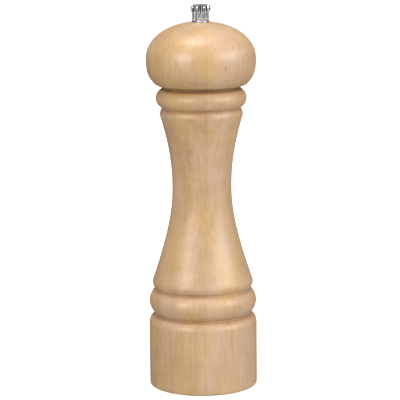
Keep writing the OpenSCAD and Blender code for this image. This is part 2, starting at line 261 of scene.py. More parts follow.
def add_object(name, data):
    """New object in the scene."""
    made = bpy.data.objects.new(name, data)
    bpy.context.scene.collection.objects.link(made)
    return made


def finish_mesh(name, mesh, sharp_deg=SHARP_DEG):
    """Mesh made smooth, as an object in the scene."""
    mesh.validate()
    smooth(mesh, sharp_deg)
    return add_object(name, mesh)


def finish_build(name, build, sharp_deg=SHARP_DEG):
    """The same for a bmesh, with its normals turned outwards."""
    mesh = bpy.data.meshes.new(name)
    bmesh.ops.recalc_face_normals(build, faces=build.faces)
    build.to_mesh(mesh)
    build.free()
    return finish_mesh(name, mesh, sharp_deg)


def revolve(name, outline, shape=None, around=AROUND_SMALL, closed=True, sharp_deg=SHARP_DEG):
    """Turns an outline about Z. shape(r, z, angle) may change a point's radius.
    An open outline starts and ends on the axis, where it closes in a fan.
    The attribute crease says how deep in a groove, flute or tooth a point lies; the materials darken by
    it, as painted shade and, on the metal, also as dirt."""
    full_depth = 1.1
    build = bmesh.new()
    crease = build.verts.layers.float.new("crease")
    rings = []
    for (r, z), hollow in zip(outline, hollowness(outline, closed)):
        ring = []
        for i in range(around if r else 1):
            angle = 2 * math.pi * i / around
            radius = shape(r, z, angle) if shape and r else r
            vertex = build.verts.new((radius * math.cos(angle) * MM,
                                      radius * math.sin(angle) * MM, z * MM))
            vertex[crease] = max(hollow, min(1, (r - radius) / full_depth)) if radius < r else hollow
            ring.append(vertex)
        rings.append(ring)
    pairs = list(zip(rings, rings[1:]))
    if closed:
        pairs.append((rings[-1], rings[0]))
    for low, high in pairs:
        for i in range(around):
            j = (i + 1) % around
            corners = (low[i % len(low)], low[j % len(low)], high[j % len(high)], high[i % len(high)])
            apart = list(dict.fromkeys(corners))
            if len(apart) > 2:
                build.faces.new(apart)
    return finish_build(name, build, sharp_deg)


def solid_of(thing, name):
    """Copy of an object's final mesh, with doubled points merged."""
    double_m = 1e-7
    bpy.context.view_layer.update()
    graph = bpy.context.evaluated_depsgraph_get()
    mesh = bpy.data.meshes.new_from_object(thing.evaluated_get(graph))
    mesh.name = name
    build = bmesh.new()
    build.from_mesh(mesh)
    bmesh.ops.remove_doubles(build, verts=build.verts, dist=double_m)
    bmesh.ops.recalc_face_normals(build, faces=build.faces)
    build.to_mesh(mesh)
    build.free()
    return mesh


def plate(name, loops, z0, z1, bevel=0.15):
    """Flat plate with rounded edges. The first loop of (x, y) points is its rim, the rest are holes."""
    flat = bpy.data.curves.new(name, "CURVE")
    flat.dimensions = "2D"
    flat.fill_mode = "BOTH"
    flat.extrude = ((z1 - z0) / 2 - bevel) * MM
    flat.bevel_depth = bevel * MM
    flat.bevel_resolution = 2
    flat.offset = -bevel * MM
    for loop in loops:
        spline = flat.splines.new("POLY")
        spline.points.add(len(loop) - 1)
        for point, (x, y) in zip(spline.points, loop):
            point.co = (x * MM, y * MM, 0, 1)
        spline.use_cyclic_u = True
    sheet = add_object(name + "_outline", flat)
    mesh = solid_of(sheet, name)
    mesh.transform(Matrix.Translation((0, 0, (z0 + z1) / 2 * MM)))
    bpy.data.objects.remove(sheet)
    return finish_mesh(name, mesh)


def circle(r, x=0, n=64):
    """Loop of points round (x, 0)."""
    return [(x + r * math.cos(2 * math.pi * i / n), r * math.sin(2 * math.pi * i / n))
            for i in range(n)]


def square(half, corner=0.3):
    """Loop of a square with rounded corners."""
    loop = []
    for k in range(4):
        cx = (half - corner) * (1 if k in (0, 3) else -1)
        cy = (half - corner) * (1 if k in (0, 1) else -1)
        loop += arc((cx, cy), corner, 90 * k, 90 * k + 90, 5)
    return loop


def settle(piece):
    """Gives a piece the mesh that its modifiers make of it."""
    mesh = solid_of(piece, piece.data.name)
    piece.modifiers.clear()
    piece.data = mesh
    smooth(mesh)


def cut(piece, tool):
    """Cuts the tool's shape out of a piece and removes the tool."""
    modifier = piece.modifiers.new("cut", "BOOLEAN")
    modifier.object = tool
    modifier.operation = "DIFFERENCE"
    modifier.solver = "EXACT"
    settle(piece)
    bpy.data.objects.remove(tool)


def bevel(piece, width):
    """Rounds a piece's sharp edges."""
    modifier = piece.modifiers.new("round", "BEVEL")
    modifier.width = width * MM
    modifier.segments = 2
    modifier.limit_method = "ANGLE"
    modifier.angle_limit = math.radians(50)
    settle(piece)


def box(size, centre):
    """Plain box, used only as a cutting tool."""
    mesh = bpy.data.meshes.new("cutter")
    build = bmesh.new()
    bmesh.ops.create_cube(build, size=1, matrix=Matrix.Diagonal((*[s * MM for s in size], 1)))
    build.to_mesh(mesh)
    build.free()
    mesh.transform(Matrix.Translation(Vector(centre) * MM))
    return add_object("cutter", mesh)


def join(name, pieces):
    """One object from several, each mesh kept where it lies."""
    build = bmesh.new()
    for piece in pieces:
        build.from_mesh(piece.data)
        bpy.data.objects.remove(piece)
    mesh = bpy.data.meshes.new(name)
    build.to_mesh(mesh)
    build.free()
    return finish_mesh(name, mesh)


# Pieces

def fluted(r, z, angle):
    """Radius on the knob with its flutes cut by a round cutter, one flute at the front.
    They are straight in the middle, deepen slowly over the band and run inwards at the foot."""
    cutter_r, floor_r, soft = 1.5, 3.85, 0.25
    straight_from, straight_to = KNOB_Z + 1.7, KNOB_Z + 4.4
    foot_bow, band_lean = 0.14, 0.10
    step = 2 * math.pi / FLUTES
    centre_r = (floor_r + cutter_r - band_lean * max(z - straight_to, 0)
                - foot_bow * max(straight_from - z, 0) ** 2)
    turn = (angle + math.pi / 2) % step
    turn = min(turn, step - turn)
    reach = cutter_r ** 2 - (centre_r * math.sin(turn)) ** 2
    if r < KNOB_CORE_R or reach <= 0:
        return r
    floor = centre_r * math.cos(turn) - math.sqrt(reach)
    blend = max(soft - abs(r - floor), 0) / soft
    return min(r, floor) - blend * blend * soft / 4


def make_knob():
    """Fluted knob: narrow lower part, wider band, flat top, blind threaded bore."""
    band_r, foot_r, top_in = 5.2, 4.35, 0.9
    roof_z = KNOB_TOP - 2.1
    step_z, band_z, band_top = KNOB_Z + 4.2, KNOB_Z + 4.92, KNOB_TOP - 1.5
    rise_z, rise_h, rise_rows = KNOB_Z + 0.3, 3.8, 8
    rise = [(foot_r, rise_z + rise_h * i / rise_rows) for i in range(rise_rows + 1)]
    shoulder = [(band_r - top_in * (1 - math.cos(a)), band_top + (KNOB_TOP - band_top) * math.sin(a))
                for a in (math.radians(6 * i) for i in range(15))]
    outline = [
        (0, roof_z), (THREAD_R - 0.2, roof_z), (THREAD_R, roof_z - 0.3),
        (THREAD_R, KNOB_Z + 0.5), (THREAD_R + 0.5, KNOB_Z),
        (foot_r - 0.3, KNOB_Z), (foot_r - 0.09, KNOB_Z + 0.09), *rise,
        *quarter((foot_r, step_z), (band_r, band_z), False, 6),
        (band_r, band_z + 0.6), (band_r, band_top - 0.6), *shoulder,
        (band_r - top_in - 0.25, KNOB_TOP), (KNOB_CORE_R, KNOB_TOP), (1.2, KNOB_TOP), (0, KNOB_TOP)]
    return revolve("fluted_knob", outline, fluted, around=2 * AROUND, closed=False, sharp_deg=50)


def squared(r, angle):
    """Radius at an angle on a square whose half width is r."""
    return r / max(abs(math.cos(angle)), abs(math.sin(angle)))


def make_shaft():
    """Square bar with a threaded top end and a round tail grooved for the clip."""
    corner_r, fade = 4.08, 1.2

    def shape(r, z, angle):
        """Squares the bar and cuts the thread, which fades in above the bar's end."""
        if r > THREAD_R:
            return min(squared(r, angle), corner_r)
        if z > THREAD_START and r == THREAD_R:
            phase = ((z - THREAD_START) / THREAD_PITCH - angle / (2 * math.pi)) % 1
            run_in = min(1, (z - THREAD_START) / fade)
            return r - THREAD_DEPTH * run_in * abs(2 * phase - 1)
        return r

    tip, waist_r, arris, play = 0.6, 1.9, 0.3, 0.05
    rows_per_turn = 8
    thread_top = SHAFT_TOP - tip
    thread_rows = round((thread_top - THREAD_START) / THREAD_PITCH * rows_per_turn)
    thread = [(THREAD_R, THREAD_START + arris + (thread_top - THREAD_START - arris) * i / thread_rows)
              for i in range(thread_rows + 1)]
    outline = [
        (0, TAIL_Z), (THREAD_R - tip, TAIL_Z), (THREAD_R, TAIL_Z + tip),
        (THREAD_R, CLIP_Z - play), (waist_r, CLIP_Z - play),
        (waist_r, CLIP_TOP + play), (THREAD_R, CLIP_TOP + play),
        (THREAD_R, SQUARE_START), (SHAFT_HALF - arris, SQUARE_START),
        (SHAFT_HALF, SQUARE_START + arris), (SHAFT_HALF, THREAD_START - arris),
        (SHAFT_HALF - arris, THREAD_START), (THREAD_R, THREAD_START),
        *thread, (THREAD_R - tip, SHAFT_TOP), (0, SHAFT_TOP)]
    return revolve("threaded_shaft", outline, shape, closed=False)


def tooth(angle, z, count, twist, depth):
    """Depth cut by helical V teeth at an angle and height; twist is in radians per millimetre."""
    phase = (count * (angle + twist * z) / (2 * math.pi)) % 1
    return depth * (1 - phase)


def make_rotor():
    """Inner burr: fine teeth on the flared rim, deep feed grooves up to its neck."""
    rim_z, shoulder_z, neck_z, groove_top = 12, 13.2, ROTOR_TOP - 1.5, ROTOR_TOP - 1
    rim_r, shoulder_r, neck_r = ROTOR_R - 1.5, 9.4, 6.3
    bore, clip_recess_r, clip_recess_top = SHAFT_HALF + 0.05, 6, ROTOR_Z + 2.5
    arris, fade = 0.2, 4

    def shape(r, z, angle):
        """Squares the bore and cuts the teeth and grooves."""
        if r <= bore:
            return squared(r, angle)
        if r < neck_r + 0.01 or z >= groove_top:
            return r
        if z <= rim_z:
            return r - tooth(angle, z, count=24, twist=0.03, depth=0.55)
        shrink = min(1, (groove_top - z) / fade)
        return r - tooth(angle, z, count=7, twist=0.055, depth=2.0 * shrink)

    rise = [(shoulder_r + (neck_r - shoulder_r) * t ** 0.8, shoulder_z + (neck_z - shoulder_z) * t)
            for t in (i / 10 for i in range(11))]
    outline = [
        (bore, clip_recess_top), (clip_recess_r, clip_recess_top), (clip_recess_r, ROTOR_Z + arris),
        (clip_recess_r + arris, ROTOR_Z), (ROTOR_R - arris, ROTOR_Z), (ROTOR_R, ROTOR_Z + arris),
        (ROTOR_R - 0.75, ROTOR_Z + 1.5), (rim_r, rim_z), *rise,
        (neck_r, ROTOR_TOP - arris), (neck_r - arris, ROTOR_TOP), (bore, ROTOR_TOP)]
    return revolve("rotor_burr", outline, shape, around=2 * AROUND, sharp_deg=25)


def make_stator():
    """Outer burr: ring with a throat, teeth below it and feed grooves above it."""
    throat_r, throat_z, low_r, mouth_r, arris = 11.1, 12, 13.6, 12.2, 0.2

    def shape(r, z, angle):
        """Cuts the teeth and grooves, which lean the other way than the rotor's."""
        if r > low_r:
            return r
        if z <= throat_z:
            return r + tooth(-angle, z, count=24, twist=0.03, depth=0.45)
        return r + tooth(-angle, z, count=9, twist=0.05, depth=1.0)

    outline = [
        (STATOR_R - arris, STATOR_Z), (STATOR_R, STATOR_Z + arris),
        (STATOR_R, STATOR_TOP - arris), (STATOR_R - arris, STATOR_TOP),
        (mouth_r, STATOR_TOP), (mouth_r - 0.5, STATOR_TOP - 4),
        (throat_r, throat_z + 0.3), (throat_r, throat_z),
        (throat_r + 1.2, STATOR_Z + 2.6), (low_r, STATOR_Z)]
    return revolve("stator_burr", outline, shape, around=2 * AROUND, sharp_deg=25)


def make_shell():
    """Pressed steel shell: flange, small bend and tube with a rolled top edge."""
    inner_r, roll_r = SHELL_R - SHELL_WALL, SHELL_WALL / 2
    flange_top = SHELL_Z + 1
    bend, lip, arris = 0.7, 0.5, 0.2
    outline = [
        (inner_r + lip, SHELL_Z), (FLANGE_R - arris, SHELL_Z), (FLANGE_R, SHELL_Z + arris),
        (FLANGE_R, flange_top - arris), (FLANGE_R - arris, flange_top),
        (SHELL_R + bend, flange_top), *arc((SHELL_R + bend, flange_top + bend), bend, -110, -180, 5),
        *arc((SHELL_R - roll_r, SHELL_TOP - roll_r), roll_r, 0, 180, 6),
        *arc((inner_r + lip, SHELL_Z + lip), lip, -180, -100, 4)]
    return revolve("burr_shell", outline, around=AROUND)


def bent_path(half_w, top, bend):
    """Path in x and z of a strap bent over the axis: up one leg, across, and down the other."""
    right = [(half_w, BRIDGE_Z), *arc((half_w - bend, top - bend), bend, 0, 90, 8), (0, top)]
    return right + [(-x, z) for x, z in reversed(right[:-1])]


def make_bridge():
    """Bent strap over the burrs, with the hole that the spring's washer bears round."""
    thick, half_w, bend, hole_r = 1.3, 7, 3.2, 4.7
    build = bmesh.new()
    outer, inner = (
        [[build.verts.new((x * MM, y * MM, z * MM)) for y in (-half_w, half_w)] for x, z in path]
        for path in (bent_path(BRIDGE_R, BRIDGE_TOP, bend + thick),
                     bent_path(BRIDGE_R - thick, BRIDGE_TOP - thick, bend)))
    for rows in (outer, inner):
        for a, b in zip(rows, rows[1:]):
            build.faces.new((a[0], b[0], b[1], a[1]))
    for side in (0, 1):
        for k in range(len(outer) - 1):
            build.faces.new((outer[k][side], outer[k + 1][side], inner[k + 1][side], inner[k][side]))
    for end in (0, -1):
        build.faces.new((outer[end][0], outer[end][1], inner[end][1], inner[end][0]))
    strap = finish_build("bridge_strap", build)
    low, high = BRIDGE_TOP - 3 * thick, BRIDGE_TOP + thick
    cut(strap, revolve("hole", [(0, low), (hole_r, low), (hole_r, high), (0, high)], closed=False))
    bevel(strap, 0.2)
    return strap


def make_rivets():
    """Two rivets with domed heads inside the bridge's legs."""
    shank_r, head_r, head_h, leg_x = 1.2, 2.1, 0.9, 13.35
    dome = [(0, leg_x - head_h), (0.9, leg_x - head_h + 0.05), (1.6, leg_x - head_h + 0.3),
            (head_r, leg_x - 0.25), (head_r, leg_x), (shank_r, leg_x),
            (shank_r, RIVET_X - 0.1), (shank_r - 0.1, RIVET_X), (0, RIVET_X)]
    pieces = []
    for turn in (0, math.pi):
        rivet = revolve("rivet", dome, around=32, closed=False)
        rivet.data.transform(Matrix.Translation((0, 0, RIVET_Z * MM)) @ Matrix.Rotation(turn, 4, "Z")
                             @ Matrix.Rotation(math.pi / 2, 4, "Y"))
        pieces.append(rivet)
    return join("bridge_rivet_pair", pieces)


def make_spring():
    """Compression spring of round wire with closed ends, ground flat."""
    wire_r, facets = 0.55, 12
    coil_r = SPRING_R - wire_r
    turns, closed_turns, steps = 7, 1, 40
    ground, pressed = 0.55, 0.98
    low, high = SPRING_Z + wire_r * ground, SPRING_TOP - wire_r * ground
    closed_rise = 2 * wire_r * closed_turns * pressed

    def height(turn):
        """Height of the wire's centre after so many turns."""
        if turn < closed_turns:
            return low + closed_rise * turn / closed_turns
        if turn > turns - closed_turns:
            return high - closed_rise * (turns - turn) / closed_turns
        t = (turn - closed_turns) / (turns - 2 * closed_turns)
        return low + closed_rise + (high - low - 2 * closed_rise) * t

    build = bmesh.new()
    rings = []
    for i in range(turns * steps + 1):
        angle = 2 * math.pi * i / steps
        middle = height(i / steps)
        ring = []
        for k in range(facets):
            around_wire = 2 * math.pi * k / facets
            r = coil_r + wire_r * math.cos(around_wire)
            z = min(max(middle + wire_r * math.sin(around_wire), SPRING_Z), SPRING_TOP)
            ring.append(build.verts.new((r * math.cos(angle) * MM, r * math.sin(angle) * MM, z * MM)))
        rings.append(ring)
    for a, b in zip(rings, rings[1:]):
        for k in range(facets):
            m = (k + 1) % facets
            build.faces.new((a[k], a[m], b[m], b[k]))
    build.faces.new(rings[0])
    build.faces.new(rings[-1])
    return finish_build("spring_coil", build, sharp_deg=50)


def make_clip():
    """E-shaped retaining clip: open ring with three inner lugs."""
    inner_r, lug_r = 3.0, 1.95
    opening, inner_opening, lug_half = math.radians(21), math.radians(31.5), math.radians(16)
    lugs = (math.radians(62), math.pi, math.radians(298))
    outer_steps, inner_steps = 48, 96
    rim = []
    for i in range(outer_steps + 1):
        a = opening + (2 * math.pi - 2 * opening) * i / outer_steps
        rim.append((CLIP_R * math.cos(a), CLIP_R * math.sin(a)))
    for i in range(inner_steps + 1):
        a = 2 * math.pi - inner_opening - (2 * math.pi - 2 * inner_opening) * i / inner_steps
        r = lug_r if min(abs(a - lug) for lug in lugs) < lug_half else inner_r
        rim.append((r * math.cos(a), r * math.sin(a)))
    return plate("retaining_clip", [rim], CLIP_Z, CLIP_TOP, 0.08)


def screw_holes(r, x):
    """Loops of two screw holes, at x and -x."""
    return [circle(r, x, 24), circle(r, -x, 24)]


def make_crossbar():
    """Flat bar across the foot: round ends, bearing hole and two screw holes."""
    bush_hole_r, screw_hole_r = 4, 1.55
    reach = math.degrees(math.asin(BAR_HALF_W / BAR_R))
    rim = arc((0, 0), BAR_R, -reach, reach, 12) + arc((0, 0), BAR_R, 180 - reach, 180 + reach, 12)
    holes = [circle(bush_hole_r), *screw_holes(screw_hole_r, FIXING_X)]
    return plate("foot_crossbar", [rim] + holes, BAR_Z, BAR_TOP, 0.25)


def make_bush():
    """Flanged bearing bush pressed into the crossbar from below."""
    bore_r, body_r, flange_t, round_r = 2.55, 3.95, 1, 0.25
    outline = [
        (bore_r + 0.3, BUSH_Z), *arc((BUSH_R - round_r, BUSH_Z + round_r), round_r, -90, 0, 3),
        (BUSH_R, BUSH_Z + flange_t), (body_r, BUSH_Z + flange_t), (body_r, BUSH_TOP - 0.1),
        (body_r - 0.1, BUSH_TOP), (bore_r, BUSH_TOP), (bore_r, BUSH_Z + 0.3)]
    return revolve("bearing_bush", outline)


def screw_pair(name, x, face_z, tip_z, head_r, head_h, shank_r):
    """Two slotted pan-head screws driven up from below, with cut wood threads."""
    pitch, depth, plain, slot_w, rows_per_turn = 0.9, 0.35, 1.5, 0.7, 6

    def shape(r, z, angle):
        """Cuts the thread beyond the plain part of the shank."""
        if z <= face_z + plain or r < shank_r - 0.01:
            return r
        phase = ((z - face_z) / pitch - angle / (2 * math.pi)) % 1
        return r - depth * min(1, 3 * abs(phase - 0.5))

    rows = round((tip_z - face_z - 2) / pitch * rows_per_turn)
    shank = [(shank_r, face_z + 0.1 + (tip_z - face_z - 1.6) * i / rows) for i in range(rows + 1)]
    head_z = face_z - head_h
    outline = [
        (0, head_z), (head_r * 0.45, head_z + 0.03), (head_r * 0.72, head_z + 0.2),
        (head_r * 0.92, head_z + 0.5), (head_r, head_z + 0.95), (head_r, face_z - 0.1),
        (head_r - 0.1, face_z), (shank_r, face_z), *shank,
        (shank_r * 0.5, tip_z - 0.3), (0, tip_z)]
    pieces = []
    for side, turn in ((-1, 25), (1, 70)):
        made = revolve("screw", outline, shape, around=48, closed=False)
        slot = box((3 * head_r, slot_w, head_h), (0, 0, head_z))
        slot.data.transform(Matrix.Rotation(math.radians(turn), 4, "Z"))
        cut(made, slot)
        made.data.transform(Matrix.Translation((side * x * MM, 0, 0)))
        pieces.append(made)
    return join(name, pieces)


def make_crossbar_screws():
    """Screws that hold the crossbar to the foot."""
    low, high, _ = span("crossbar_screws")
    return screw_pair("foot_screw_pair", FIXING_X, BAR_Z, high,
                      head_r=2.6, head_h=BAR_Z - low, shank_r=1.35)


def make_plate_screws():
    """Screws that hold the drive plate to the head."""
    low, high, _ = span("drive_plate_screws")
    return screw_pair("plate_screw_pair", PLATE_SCREW_X, PLATE_Z, high,
                      head_r=2.1, head_h=PLATE_Z - low, shank_r=1.15)


def make_drive_plate():
    """Round plate whose square hole carries the shaft round with the head."""
    square_half, screw_hole_r = 3.15, 1.35
    holes = [square(square_half), *screw_holes(screw_hole_r, PLATE_SCREW_X)]
    return plate("head_drive_plate", [circle(PLATE_R, n=96)] + holes, PLATE_Z, PLATE_TOP, 0.2)


def make_washer(name, node, hole_r, arris=0.15, taper=0):
    """Ring as high and as wide as its CAD node."""
    low, high, rim_r = span(node)
    return revolve(name, ring_outline(hole_r, rim_r, low, high, arris, taper))


# Materials: all procedural, on object coordinates in millimetres

def new_material(name, **constants):
    """Principled material with constants set on the shader's own sockets."""
    material = bpy.data.materials.new(name)
    material.use_nodes = True
    shader = material.node_tree.nodes["Principled BSDF"]
    for socket, value in constants.items():
        shader.inputs[socket.replace("_", " ")].default_value = value
    return material, material.node_tree, shader


def add(tree, kind, *inputs, out=0, **settings):
    """New shader node; inputs are sockets, constants, or None to leave one alone."""
    made = tree.nodes.new("ShaderNode" + kind)
    for key, value in settings.items():
        setattr(made, key, value)
    for socket, value in zip(made.inputs, inputs):
        if isinstance(value, bpy.types.NodeSocket):
            tree.links.new(value, socket)
        elif value is not None:
            socket.default_value = value
    return made.outputs[out]


def maths(tree, operation, a, b=None, c=None):
    """Result of a Math node."""
    return add(tree, "Math", a, b, c, operation=operation)


def millimetres(tree):
    """Place on the object, in millimetres."""
    place = add(tree, "TexCoord", out=3)
    return add(tree, "VectorMath", place, (1 / MM,) * 3, operation="MULTIPLY")


def stretched(tree, place, scale, detail=2.0, roughness=0.5):
    """Noise from 0 to 1 whose grains have their own number per millimetre along x, y and z."""
    grains = add(tree, "VectorMath", place, scale, operation="MULTIPLY")
    return add(tree, "TexNoise", grains, None, 1.0, detail, roughness)


def centred(tree, noise, amount):
    """Noise turned into a number from -amount to amount about zero."""
    return add(tree, "MapRange", noise, 0.25, 0.75, -amount, amount)


def ramp(tree, value, *stops):
    """Colour ramp of (place, colour) stops."""
    made = tree.nodes.new("ShaderNodeValToRGB")
    elements = made.color_ramp.elements
    while len(elements) < len(stops):
        elements.new(0.5)
    for element, (place, colour) in zip(elements, stops):
        element.position = place
        element.color = (*colour, 1)
    tree.links.new(value, made.inputs[0])
    return made.outputs[0]


def mix(tree, share, a, b, blend="MIX"):
    """Mixes two colours, each a socket or three numbers."""
    made = tree.nodes.new("ShaderNodeMix")
    made.data_type = "RGBA"
    made.blend_type = blend
    for index, value in ((0, share), (6, a), (7, b)):
        if isinstance(value, bpy.types.NodeSocket):
            tree.links.new(value, made.inputs[index])
        else:
            made.inputs[index].default_value = (*value, 1) if isinstance(value, tuple) else value
    return made.outputs[2]


def band(tree, value, middle, half):
    """1 at the middle value, falling smoothly to 0 at half a width away."""
    away = maths(tree, "ABSOLUTE", maths(tree, "SUBTRACT", value, middle))
    return add(tree, "MapRange", away, 0.0, half, 1.0, 0.0, interpolation_type="SMOOTHSTEP")


def bump(tree, shader, height, strength, depth_mm):
    """Lets a height from 0 to 1 tilt the shader's normal."""
    made = tree.nodes.new("ShaderNodeBump")
    made.inputs["Strength"].default_value = strength
    made.inputs["Distance"].default_value = depth_mm * MM
    tree.links.new(height, made.inputs["Height"])
    tree.links.new(made.outputs[0], shader.inputs["Normal"])


def fleck(tree, parts, at_x, at_z, half_w, half_h):
    """Small upright lens in the wood of the front half: 1 inside it, falling to 0 at its edge."""
    x, y, z = parts
    dx = maths(tree, "DIVIDE", maths(tree, "SUBTRACT", x, at_x), half_w)
    dz = maths(tree, "DIVIDE", maths(tree, "SUBTRACT", z, at_z), half_h)
    far = maths(tree, "SQRT", maths(tree, "ADD", maths(tree, "MULTIPLY", dx, dx),
                                    maths(tree, "MULTIPLY", dz, dz)))
    lens = add(tree, "MapRange", far, 0.3, 1.0, 1.0, 0.0, interpolation_type="SMOOTHSTEP")
    return maths(tree, "MULTIPLY", lens, maths(tree, "LESS_THAN", y, 0.0))


def growth_rings(tree, place, right):
    """Late wood of the growth rings, from 0 to 1, in places weaker. Each board has a pith of its
    own, and the rings bend a little along the trunk."""
    left_pith, right_pith = (-46.0, 62.0, 0.0), (58.0, 44.0, 30.0)
    wander_mm, ring_mm = 3.2, 2.9
    pith = mix(tree, right, left_pith, right_pith)
    flat = add(tree, "VectorMath", add(tree, "VectorMath", place, pith, operation="SUBTRACT"),
               (1.0, 1.0, 0.03), operation="MULTIPLY")
    reach = add(tree, "VectorMath", flat, out=1, operation="LENGTH")
    wander = centred(tree, stretched(tree, place, (0.06, 0.06, 0.011), 2.0), wander_mm)
    ring = maths(tree, "FRACT", maths(tree, "DIVIDE", maths(tree, "ADD", reach, wander), ring_mm))
    late = maths(tree, "POWER", ring, 4.0)
    strength = stretched(tree, place, (0.05, 0.05, 0.02), 1.0)
    return maths(tree, "MULTIPLY", late, strength)


def make_maple():
    """Turned maple under a satin coat, from two boards glued edge to edge."""
    material, tree, shader = new_material(
        "turned_maple", Coat_Weight=0.25, Coat_Roughness=0.34, Coat_IOR=1.5,
        Specular_IOR_Level=0.70)
    place = millimetres(tree)
    parts = tree.nodes.new("ShaderNodeSeparateXYZ")
    tree.links.new(place, parts.inputs[0])
    x, _, z = parts.outputs
    seam_x, seam_lean = 1.4, 0.0105
    off_seam = maths(tree, "SUBTRACT", x, maths(tree, "MULTIPLY_ADD", z, seam_lean, seam_x))
    right = maths(tree, "GREATER_THAN", off_seam, 0.0)

    # Fibres, pores, hue patches and the faint curl across the grain
    fibre = stretched(tree, place, (1.1, 1.1, 0.022), 3.0, 0.6)
    streak = stretched(tree, place, (0.85, 0.85, 0.095), 2.0, 0.55)
    mottle = stretched(tree, place, (0.34, 0.34, 0.16), 2.0)
    fine = stretched(tree, place, (5.5, 5.5, 0.10), 2.0, 0.6)
    pore = add(tree, "MapRange", stretched(tree, place, (7.0, 7.0, 0.40), 1.0),
               0.66, 0.76, 0.0, 1.0)
    patch = stretched(tree, place, (0.075, 0.075, 0.028), 2.0)
    blotch = stretched(tree, place, (0.11, 0.11, 0.035), 1.0)
    curl = stretched(tree, place, (0.06, 0.06, 0.22), 1.0)
    crease = add(tree, "Attribute", out=2, attribute_name="crease")
    # Painted shade: grooves darker by hollow, reaching on below an overhang. Painted highlight: sharp
    # ridges a little paler by ridge.
    hollow = maths(tree, "MAXIMUM", crease, 0.0)
    ridge = maths(tree, "MAXIMUM", maths(tree, "MULTIPLY", crease, -1.0), 0.0)
    seam = band(tree, off_seam, 0.0, 0.30)
    # Painted shadow of the gap under the ball, on the body's rim and on the ball's lower edge.
    joint_shadow = band(tree, z, JOINT_Z - 0.8, 2.4)
    mark = fleck(tree, parts.outputs, 12.6, 172.0, 0.75, 2.6)

    # Each adds its share to the tone, which the ramp turns into a colour from dark to pale; the shares
    # of hollow, of the band under the ball and of ridge are painted shade, painted shadow and painted
    # highlight.
    tone = 0.60
    for value, share in ((growth_rings(tree, place, right), -0.08),
                         (centred(tree, fibre, 1.0), 0.035), (centred(tree, fine, 1.0), 0.02),
                         (centred(tree, streak, 1.0), 0.07), (centred(tree, mottle, 1.0), 0.03),
                         (centred(tree, blotch, 1.0), 0.07), (pore, -0.08),
                         (centred(tree, curl, 1.0), 0.03), (right, 0.05),
                         (hollow, -0.14), (joint_shadow, -0.38), (ridge, 0.03), (seam, -0.07),
                         (mark, -0.25)):
        tone = maths(tree, "MULTIPLY_ADD", value, share, tone)
    wood = ramp(tree, tone, (0.0, (0.16, 0.075, 0.025)), (0.30, (0.36, 0.20, 0.078)),
                (0.60, (0.585, 0.385, 0.195)), (0.95, (0.75, 0.56, 0.34)))
    amber, rose = (1.02, 0.97, 0.80), (1.0, 0.975, 1.12)
    blush = add(tree, "MapRange", maths(tree, "MULTIPLY_ADD", right, 0.03, patch),
                0.36, 0.64, 0.0, 1.0)
    colour = mix(tree, 1.0, wood, mix(tree, blush, amber, rose), "MULTIPLY")
    tree.links.new(colour, shader.inputs["Base Color"])

    rough = add(tree, "MapRange", fibre, 0.3, 0.7, 0.38, 0.48)
    tree.links.new(maths(tree, "MULTIPLY_ADD", hollow, 0.15, rough), shader.inputs["Roughness"])
    lathe = stretched(tree, place, (0.15, 0.15, 6.0), 1.0)
    height = maths(tree, "MULTIPLY_ADD", pore, -0.8,
                   maths(tree, "MULTIPLY_ADD", lathe, 0.25, maths(tree, "MULTIPLY", fine, 0.7)))
    bump(tree, shader, height, strength=0.25, depth_mm=0.03)
    return material


def make_metal(name, colour, roughness, grain, stain, soil_and_shade, uneven, bump_mm, untouched_depth=0.0, **constants):
    """Metal with brush lines or grit (grain per millimetre on x, y, z) and uneven gloss.
    stain is how much darker its clouds are, and soil_and_shade how much darker its deepest hollows, as
    dirt and as painted shade.
    Hollows no deeper than clean stay as they are."""
    material, tree, shader = new_material(name, Metallic=1.0, **constants)
    place = millimetres(tree)
    lines = stretched(tree, place, grain, 3.0, 0.65)
    cloud = stretched(tree, place, (0.35, 0.35, 0.35), 3.0)
    crease = add(tree, "Attribute", out=2, attribute_name="crease")
    hollow = add(tree, "MapRange", crease, untouched_depth, 1.0, 0.0, 1.0)
    dull = add(tree, "MapRange", cloud, 0.35, 0.70, 0.0, 1.0)
    clouded = mix(tree, dull, colour, tuple(c * (1 - stain) for c in colour))
    # Deepest hollows darker, as dirt and as painted shade.
    tinted = mix(tree, hollow, clouded, tuple(c * (1 - soil_and_shade) for c in colour))
    dull = maths(tree, "MAXIMUM", dull, hollow)
    shade = ramp(tree, lines, (0.3, (0.90,) * 3), (0.7, (1.0,) * 3))
    tree.links.new(mix(tree, 1.0, tinted, shade, "MULTIPLY"), shader.inputs["Base Color"])
    gloss = maths(tree, "MULTIPLY_ADD", centred(tree, lines, 0.5), uneven, roughness)
    gloss = maths(tree, "MULTIPLY_ADD", dull, uneven, gloss)
    tree.links.new(gloss, shader.inputs["Roughness"])
    bump(tree, shader, lines, strength=0.4, depth_mm=bump_mm)
    return material


